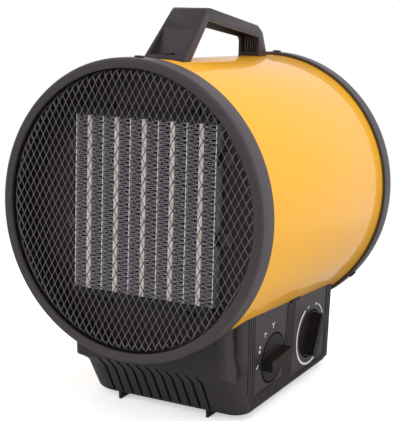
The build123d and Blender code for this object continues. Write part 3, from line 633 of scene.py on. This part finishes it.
def browed(x, y, up, inset):
    # the brow stands out from the front wall on a hollow curve, with a valley at each end
    half, rounding = brow["half"] - inset, brow["round"] - inset
    risen = min(1.0, max(0.0, (up - brow["start"]) / (brow["end"] - brow["start"]))) ** brow["hollow"]
    if risen <= 0:
        return y
    if abs(x) >= half:
        return y + brow["valley"] * risen * max(0.0, 1 - (abs(x) - half) / brow["valleyWide"])
    bend = min(max(0.0, abs(x) - (brow["half"] - brow["round"])), rounding)
    nose = brow["front"] + brow["round"] - sqrt(max(0.0, rounding ** 2 - bend ** 2))
    return y + (softMin(y, nose, brow["blend"]) - y) * risen


def between(start, end, count):
    # even steps from one value to another, both left out
    return [start + (end - start) * k / count for k in range(1, count)]


def arcPoints(cx, cy, radius, start, count):
    # a quarter turn clockwise from an angle in degrees, its first point left out
    angles = [radians(start - 90 * k / count) for k in range(1, count + 1)]
    return [(cx + radius * cos(a), cy + radius * sin(a)) for a in angles]


def frontGrid():
    # across the front: each groove's own points, and a few between grooves
    edge, points = grooves["shape"][-1][0], []
    for i in range(grooves["count"]):
        centre = (i - (grooves["count"] - 1) / 2) * grooves["pitch"]
        points += [(centre + dx, depth) for dx, depth in grooves["shape"]]
        if i < grooves["count"] - 1:
            points += [(x, 0) for x in between(centre + edge, centre + grooves["pitch"] - edge, 5)]
    return points


def cornerRight(up):
    # sharper at the foot than above
    foot, top = base["cornerRise"]
    sharpLow, softHigh = base["cornerRight"]
    return sharpLow + (softHigh - sharpLow) * smooth((up - foot) / (top - foot))


def baseOutline(up, inset):
    # clockwise from the rear right corner; every height has as many points
    side, near = halfWidth(up) - inset, nearFace(up) + inset
    heel = base["rearLow"] - base["heelRun"] + (up - base["low"]) * base["heelSlope"]
    far = min(base["rearLow"] + (base["rearHigh"] - base["rearLow"]) * share(up), heel) - inset
    right, left, rear = cornerRight(up) - inset, base["cornerLeft"] - inset, base["cornerRear"] - inset
    grid = frontGrid()
    edge = grid[-1][0] + grooves["margin"]
    path = [(side - rear, far)] + arcPoints(side - rear, far - rear, rear, 90, base["rearSteps"])
    path += [(side, y) for y in between(far - rear, near + right, 12)] + [(side, near + right)]
    path += arcPoints(side - right, near + right, right, 0, base["frontSteps"])
    path += [(x, near) for x in between(side - right, edge, 10)]
    firstGroove = len(path)
    path += [(x, near) for x, depth in reversed(grid)]
    path += [(x, near) for x in between(-edge, -side + left, 4)]
    path += [(-side + left, near)] + arcPoints(-side + left, near + left, left, -90, base["frontSteps"])
    path += [(-side, y) for y in between(near + left, far - rear, 6)] + [(-side, far - rear)]
    path += arcPoints(-side + rear, far - rear, rear, -180, base["rearSteps"])
    fade = 1 - smooth((up - grooves["top"]) / grooves["fade"])
    fade *= smooth((up - base["low"] - grooves["footStart"]) / grooves["foot"])
    sunk = {firstGroove + k: depth * grooves["depth"] * fade for k, (x, depth) in enumerate(reversed(grid))}
    outline, middle, nudge = [], (near + far) / 2, 0.4
    for index, (x, y) in enumerate(path):
        rise = 0
        if y < middle:
            y = browed(x, y, up, inset)
            if inset == 0 and sunk.get(index, 0) > 0:
                # a groove sinks square to the wall, which leans
                above, below = up + nudge, up - nudge
                slope = browed(x, nearFace(above), above, 0) - browed(x, nearFace(below), below, 0)
                inwards = Vector((1, -slope / (2 * nudge))).normalized() * sunk[index]
                y, rise = y + inwards.x, inwards.y
        outline.append((x, y, up + rise))
    return outline


def baseLevels(low):
    # closer together where the brow bends
    levels, up = [], low
    while up < base["high"]:
        levels.append(up)
        up += base["fineLevel"] if base["fineFrom"] < up < base["fineTo"] else base["level"]
    return levels + [base["high"]]


def footRings():
    # the rounded edge round the foot, drawn in towards the middle of the plan
    rings = []
    for inset, rise in base["footEdge"]:
        loop = []
        for x, y, z in baseOutline(base["low"] + rise, 0.0):
            run = y - base["middle"]
            reach = hypot(x, run)
            loop.append((x - inset * x / reach, y - inset * run / reach, z))
        rings.append(loop)
    return rings


def panelPlace(spot):
    # a frame on the right-hand panel: x to the rear, y outwards, z up
    along, up = spot
    out, rearward = Vector((1, 0, -base["draft"])).normalized(), Vector((0, 1, 0))
    turn = Matrix((rearward, out, rearward.cross(out) * -1)).transposed().to_4x4()
    return Matrix.Translation((halfWidth(up), along, up)) @ turn


def seamUp(along):
    # where the drum meets the panel
    reach = sqrt(shell["radius"] ** 2 - halfWidth(base["seam"]) ** 2)
    tilt = radians(layout["tilt"])
    return layout["axisHeight"] - along * sin(tilt) / cos(tilt) - reach / cos(tilt)


def makeHollow(dials):
    # the room inside, less the dials' cups, the cross walls and their bosses
    floor = [(x, y, base["low"] - inside["below"]) for x, y, z in baseOutline(base["low"], base["wall"])]
    rings = [floor] + [baseOutline(up, base["wall"]) for up in baseLevels(base["low"])]
    axes = (Vector((1, 0, 0)), Vector((0, 1, 0)), Vector((0, 0, 1)))
    cupBack = -panel["recess"] - panel["cupWall"]
    keep = [rodAt(panel["cup"], cupBack, panel["cupOut"], place, 96) for place in dials]
    for along in inside["crossWalls"]:
        keep.append(boxAt(Vector((0, along, inside["wallUp"])), *axes, inside["wallHalves"]))
        for x in (-inside["bossSide"], inside["bossSide"]):
            upright = Matrix.Translation((x, along, 0)) @ Matrix.Rotation(pi / 2, 4, "X")
            keep.append(rodAt(inside["bossRadius"], *inside["bossSpan"], upright, 32))
    hollow = carve(rawMesh("hollow", *loftRings(rings)), keep)
    return [v.co.copy() for v in hollow.vertices], [tuple(f.vertices) for f in hollow.polygons]


def makeBase():
    drumInBase = Matrix.Translation((0, 0, layout["axisHeight"])) @ drumTurn
    dials = [panelPlace(panel[name]) for name in ("switch", "thermostat")]
    rings = footRings() + [baseOutline(up, 0.0) for up in baseLevels(base["low"] + base["firstLevel"])]
    tools = [makeHollow(dials)]
    tools += [rodAt(radius, start, end, drumInBase, 384) for radius, start, end in drumCuts]
    for place in dials:
        tools.append(rodAt(panel["pocket"], -panel["recess"], panel["pocketOut"], place, 128))
        tools.append(rodAt(panel["bush"], -panel["bushIn"], 0, place, 48))
    slot = panelPlace(panel["slot"])
    axes = [slot.to_3x3() @ Vector(axis) for axis in ((1, 0, 0), (0, 1, 0), (0, 0, 1))]
    tools.append(boxAt(slot.translation, *axes, panel["slotHalves"]))
    mesh = carve(rawMesh("raw", *loftRings(rings)), tools)
    mesh.transform(basePlace)
    settle("baseShell", mesh, "base", "body", ("base_body",), 32)


makeBase()

# what follows the drum's underside: the lip behind the front ring, in base plastic, which also fills the
# shadowed gap under the ring with dark (partly painted shade), and a near-black strip over the panel's top
# edge, a painted shadow of the gap there
saddle = {"inner": 117.35, "outer": 119.7, "front": 19.1, "back": 32.0, "spread": 43.0, "steps": 60,
          "shadeStrip": (136.0, 7.5), "shadeStripHeight": 3.4, "shadeStripWall": 1.4, "shadeStripOut": 0.5, "shadeStripRise": 0.4}


def makeLipShadeFill():
    corners = ((saddle["inner"], saddle["front"]), (saddle["outer"], saddle["front"]),
               (saddle["outer"], saddle["back"]), (saddle["inner"], saddle["back"]))
    rings = []
    for k in range(saddle["steps"] + 1):
        a = radians(-90 - saddle["spread"] + 2 * saddle["spread"] * k / saddle["steps"])
        rings.append([Vector((r * cos(a), y, r * sin(a))) for r, y in corners])
    points, faces = loftRings(rings)
    # dark base plastic here also fills the gap under the ring: partly painted shade
    piece("lipShadeFill", drumPlace, points, faces, "base")


def makeShadeStrip():
    # a near-black strip along the panel's top edge at the seam: a painted shadow of the gap there
    along, half = saddle["shadeStrip"]
    downhill = Vector((0, 1, -radians(layout["tilt"]))).normalized()
    out, up = halfWidth(base["seam"]) + saddle["shadeStripOut"], seamUp(along) + saddle["shadeStripRise"]
    points, faces = boxAt(Vector((out, along, up)), Vector((1, 0, 0)), downhill, Vector((0, 0, 1)),
                          (saddle["shadeStripWall"], half, saddle["shadeStripHeight"] / 2))
    piece("panelShadeStrip", basePlace, points, faces, "knob")


makeLipShadeFill()
makeShadeStrip()
print("base")

# the panel's fine ribs: top and bottom are where the edges of the ribbed fields lie,
# and between the fields the ribs stop low, at the islands' heights
ribs = {"pitch": 3.3, "wide": 2.2, "proud": 0.75, "flat": 0.7, "root": 0.2, "tip": 0.05, "lowUp": 8.0,
        "islandUp": (19.0, 12.4), "leanLow": 10.0, "leanHigh": 90.0, "seamGap": 0.6,
        "top": (54.0, 65.0, 126.0, 143.0, 203.0, 214.0), "bottom": (58.0, 69.0, 120.0, 139.0, 203.0, 213.0),
        "cornerLow": 63.3, "cornerRun": 0.351, "footGap": 2.0, "steps": 6, "endShares": (0.02, 0.985)}


def onPanel(along, up, proud):
    out = Vector((1, 0, -base["draft"])).normalized()
    return Vector((halfWidth(up), along, up)) + out * proud


def ribAlong(top, up):
    # a rib is known by where it would end at the top; lower down it has its own lean
    places = list(zip(ribs["top"], ribs["bottom"]))
    for (t0, b0), (t1, b1) in zip(places, places[1:]):
        if t0 <= top <= t1:
            bottom = b0 + (b1 - b0) * (top - t0) / (t1 - t0)
            return bottom + (top - bottom) * (up - ribs["leanLow"]) / (ribs["leanHigh"] - ribs["leanLow"])
    return top


def ribSection(top, up, lift):
    along, half, flat = ribAlong(top, up), ribs["wide"] / 2, ribs["wide"] / 2 * ribs["flat"]
    return [onPanel(along - half, up, -ribs["root"]), onPanel(along - flat, up, lift),
            onPanel(along + flat, up, lift), onPanel(along + half, up, -ribs["root"])]


def makeRibs():
    shares = [k / ribs["steps"] for k in range(1, ribs["steps"])]
    shares = [0, ribs["endShares"][0]] + shares + [ribs["endShares"][1], 1]
    lifts = [ribs["tip"]] + [ribs["proud"]] * (len(shares) - 2) + [ribs["tip"]]
    parts, top = [], ribs["top"][0]
    while top <= ribs["top"][-1] + 0.01:
        high = seamUp(top) - ribs["seamGap"]
        for island, left, right in zip(ribs["islandUp"], ribs["top"][1::2], ribs["top"][2::2]):
            if left < top < right:
                high = island
        corner = (ribs["cornerLow"] - ribAlong(top, ribs["leanLow"])) / ribs["cornerRun"]
        low = max(ribs["lowUp"], base["low"] + ribs["footGap"] + corner)
        rings = [ribSection(top, low + (high - low) * t, lift) for t, lift in zip(shares, lifts)]
        parts.append(loftRings(rings))
        top += ribs["pitch"]
    points, faces = gather(parts)
    piece("panelRibs", basePlace, points, faces, "base", sharp=25)


makeRibs()

# printed marks as offsets from a dial's centre: the switch has a bar for off, twin dots, a T shape and
# a fan of three strokes, and the thermostat two arcs (inner, outer, from, to) and a sign at two angles
marks = {"thick": 0.14, "root": 0.1, "arcStep": 4.0, "leastSteps": 6,
         "strokes": (((-29.6, -1.0), (-26.6, 1.6), 1.0), ((-17.8, 26.4), (-13.6, 25.4), 0.8),
                     ((-15.6, 25.8), (-16.4, 22.6), 0.8), ((-1.6, 29.0), (-3.8, 31.4), 0.8),
                     ((-1.6, 29.0), (0.8, 31.2), 0.8), ((-1.6, 29.2), (-1.7, 26.4), 0.8)),
         "dots": ((-25.4, 12.6), (-24.6, 16.4)), "dot": (0.5, 1.35, 0, 360),
         "arcs": ((26.5, 28.4, 117, 292), (27.0, 27.9, 27, 61)),
         "signs": (103.6, 69.0), "signRadius": 26.6,
         "signStrokes": (((-1.6, -0.5), (1.4, 0.6), 0.9), ((-0.2, -0.1), (0.3, 1.6), 0.8))}


def markStroke(dial, start, end, wide):
    # a flat bar between two offsets from a dial's centre
    (ax, ay), (bx, by) = start, end
    length = hypot(bx - ax, by - ay)
    nx, ny = -(by - ay) / length * wide / 2, (bx - ax) / length * wide / 2
    corners = [(ax - nx, ay - ny), (ax + nx, ay + ny), (bx + nx, by + ny), (bx - nx, by - ny)]
    return loftRings([[onPanel(dial[0] + x, dial[1] + y, lift) for x, y in corners]
                      for lift in (-marks["root"], marks["thick"])])


def markArc(dial, inner, outer, start, end):
    steps = max(marks["leastSteps"], int((end - start) / marks["arcStep"]))
    low, high = -marks["root"], marks["thick"]
    rings = []
    for k in range(steps + 1):
        a = radians(start + (end - start) * k / steps)
        rings.append([onPanel(dial[0] + r * cos(a), dial[1] + r * sin(a), lift)
                      for r, lift in ((inner, low), (outer, low), (outer, high), (inner, high))])
    return loftRings(rings)


def makeMarks():
    switch, thermostat = panel["switch"], panel["thermostat"]
    parts = [markArc(thermostat, *arc) for arc in marks["arcs"]]
    parts += [markStroke(switch, *stroke) for stroke in marks["strokes"]]
    parts += [markArc((switch[0] + dx, switch[1] + dy), *marks["dot"]) for dx, dy in marks["dots"]]
    for angle in marks["signs"]:
        x, y = (marks["signRadius"] * turn(radians(angle)) for turn in (cos, sin))
        parts += [markStroke(thermostat, (x + ax, y + ay), (x + bx, y + by), wide)
                  for (ax, ay), (bx, by), wide in marks["signStrokes"]]
    points, faces = gather(parts)
    piece("panelMarks", basePlace, points, faces, "marks")


makeMarks()
print("panel")

knobs = {"edge": 0.45, "slim": 0.975}  # broken edge, and the share of its size that a dial is drawn in to


def slimmed(made, spot, ratio):
    # the dial's outline drawn in towards its own axis, which leaves the dark gap round it
    place = panelPlace(spot)
    centre = basePlace @ place.translation
    out = place.to_3x3() @ Vector((0, 1, 0))
    for vertex in made.data.vertices:
        offset = vertex.co - centre
        depth = out * offset.dot(out)
        vertex.co = centre + depth + (offset - depth) * ratio


for name in ("switch", "thermostat"):
    dial = softened(name + "_knob", name + "Dial", "knob", knobs["edge"],
                    body=name + "_dial")
    slimmed(dial, panel[name], knobs["slim"])
print("dials")

# the CAD's own shapes that are shown as they are
nodeFinishes = {
    "front_ring_screws": "blackScrew", "rear_ring_screws": "blackScrew", "handle_screws": "blackScrew",
    "heater_baffle": "baffle", "ptc_bars": "bars", "divider_strips": "strip", "element_frames": "frame",
    "element_clips": "clip", "heater_terminals": "brass", "baffle_screws": "blackScrew",
    "thermal_cutout": "cutout", "motor_bracket": "plate", "motor_body": "motor", "motor_shaft": "shaft",
    "fan": "fan", "fan_nut": "steel",
    "base_plate": "base", "base_screws": "steel", "front_feet": "foot", "rear_feet": "rubber",
    "saddle_screws": "steel", "cable_gland": "gland", "terminal_block": "nylon", "rotary_switch": "control",
    "switch_nut": "steel", "switch_spindle": "shaft", "thermostat": "control", "thermostat_nut": "steel",
    "thermostat_spindle": "shaft", "thermostat_bulb": "copper", "bulb_clips": "plate",
}
for node, finish in nodeFinishes.items():
    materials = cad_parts[node].data.materials
    if len(materials) == 0:
        materials.append(finishes[finish])
    for index in range(len(materials)):
        materials[index] = finishes[finish]
print("plain nodes", len(nodeFinishes))

# the photo's camera in the drum's frame: focal length and picture centre are in pixels
camera = {"place": (506.394, -772.072, 156.251), "yaw": 31.043, "pitch": 9.041, "roll": 1.253,
          "focal": 1206.245, "centre": (171.032, 201.934), "size": (400, 421), "clip": (0.05, 20)}
lights = {
    "key": {"place": (-1.15, -1.85, 1.2), "size": (1.8, 1.5), "power": 30},
    "top": {"place": (0.5, 0.2, 1.9), "size": (1.5, 1.5), "power": 19},
    "side": {"place": (2.1, -0.2, 0.55), "size": (1.8, 1.6), "power": 23},
}
lightAim = (0, 0, 0.15)
# the floor keeps the shadow near the object and fades out from solid to gone; seen is for the camera alone
paper = {"half": 2.4, "height": -0.0002, "solid": 0.34, "gone": 0.62,
         "seen": {"glow": 0.48, "pale": (0.95, 0.97)}, "unseen": {"glow": 0.0, "pale": (0.55, 0.6)}}
sky = {"fill": 0.46, "front": 0.32, "back": 0.92, "turn": 0.8, "cast": (1.0, 0.945, 0.97, 1.0)}
white = (1, 1, 1, 1)


def makeCamera():
    yaw, pitch, roll = (radians(camera[key]) for key in ("yaw", "pitch", "roll"))
    ahead = Vector((-sin(yaw) * cos(pitch), cos(yaw) * cos(pitch), -sin(pitch)))
    right = ahead.cross(Vector((0, 0, 1))).normalized()
    up = right.cross(ahead)
    right, up = cos(roll) * right + sin(roll) * up, -sin(roll) * right + cos(roll) * up
    turn = Matrix((right, up, -ahead)).transposed().to_4x4()
    (wide, high), (centreX, centreY) = camera["size"], camera["centre"]
    data = bpy.data.cameras.new("view")
    data.lens = camera["focal"] * data.sensor_width / max(wide, high)
    data.shift_x = (wide / 2 - centreX) / max(wide, high)
    data.shift_y = (centreY - high / 2) / max(wide, high)
    data.clip_start, data.clip_end = camera["clip"]
    made = linked("view", data)
    made.matrix_world = (drumPlace @ Matrix.Scale(1 / mm, 4)
                         @ Matrix.Translation(Vector(camera["place"]) * mm) @ turn)
    bpy.context.scene.camera = made


def makeLight(name, values):
    data = bpy.data.lights.new(name, "AREA")
    data.shape, data.energy = "RECTANGLE", values["power"]
    data.size, data.size_y = values["size"]
    made = linked(name, data)
    place = Vector(values["place"])
    aim = (Vector(lightAim) - place).to_track_quat("-Z", "Y")
    made.matrix_world = Matrix.Translation(place) @ aim.to_matrix().to_4x4()
    made.visible_glossy = False
    return made


def makeSky():
    # white to the camera, a plain fill for light, and a darker front than back in what mirrors it
    world = bpy.data.worlds.new("studio")
    bpy.context.scene.world = world
    world.use_nodes = True
    room = Finish("room", world.node_tree)

    def wall(strength, colour=white):
        return room.node("ShaderNodeBackground", {}, {"Color": colour, "Strength": strength})

    def mix(factor, first, second):
        return room.node("ShaderNodeMixShader", {}, {0: factor, 1: first, 2: second})
    toCamera = room.node("ShaderNodeLightPath", {}, {}, "Is Camera Ray")
    mirrored = room.node("ShaderNodeLightPath", {}, {}, "Is Glossy Ray")
    facing = room.node("ShaderNodeTexCoord", {}, {}, "Generated")
    rearward = room.node("ShaderNodeVectorMath", {"operation": "DOT_PRODUCT"},
                         {0: facing, 1: (0, 1, 0)}, "Value")
    turn = room.node("ShaderNodeMapRange", {"interpolation_type": "SMOOTHSTEP"},
                     {"Value": rearward, "From Min": -sky["turn"], "From Max": sky["turn"]})
    reflected = mix(turn, wall(sky["front"], sky["cast"]), wall(sky["back"], sky["cast"]))
    seen = mix(toCamera, mix(mirrored, wall(sky["fill"]), reflected), wall(1.0))
    room.node("ShaderNodeOutputWorld", {}, {"Surface": seen})


def makeStage():
    # a paper floor and the lamps, with a plain room round them
    half, low = paper["half"], paper["height"]
    mesh = bpy.data.meshes.new("floor")
    mesh.from_pydata([(-half, -half, low), (half, -half, low), (half, half, low), (-half, half, low)], [],
                     [(0, 1, 2, 3)])
    finish = Finish("floorPaper")
    speck = finish.noise(6, 3.0, 0.5)
    away = finish.node("ShaderNodeVectorMath", {"operation": "LENGTH"}, {0: finish.place()}, "Value")
    fade = finish.node("ShaderNodeMapRange", {"interpolation_type": "SMOOTHSTEP"},
                       {"Value": away, "From Min": paper["solid"], "From Max": paper["gone"],
                        "To Min": 1.0, "To Max": 0.0})

    def sheet(look):
        first, second = ((level, level, level, 1) for level in look["pale"])
        return finish.node("ShaderNodeBsdfPrincipled", {}, {
            "Base Color": finish.blend(speck, first, second), "Roughness": 0.9, "Specular IOR Level": 0.0,
            "Alpha": fade, "Emission Color": white, "Emission Strength": look["glow"]})
    toCamera = finish.node("ShaderNodeLightPath", {}, {}, "Is Camera Ray")
    unseen, seen = sheet(paper["unseen"]), sheet(paper["seen"])
    mixed = finish.node("ShaderNodeMixShader", {}, {0: toCamera, 1: unseen, 2: seen})
    finish.node("ShaderNodeOutputMaterial", {}, {"Surface": mixed})
    mesh.materials.append(finish.material)
    makeSky()
    return [linked("floor", mesh)] + [makeLight(name, values) for name, values in lights.items()]


makeCamera()
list(makeStage())
print("studio")
bpy.context.scene.view_settings.view_transform = "Standard"
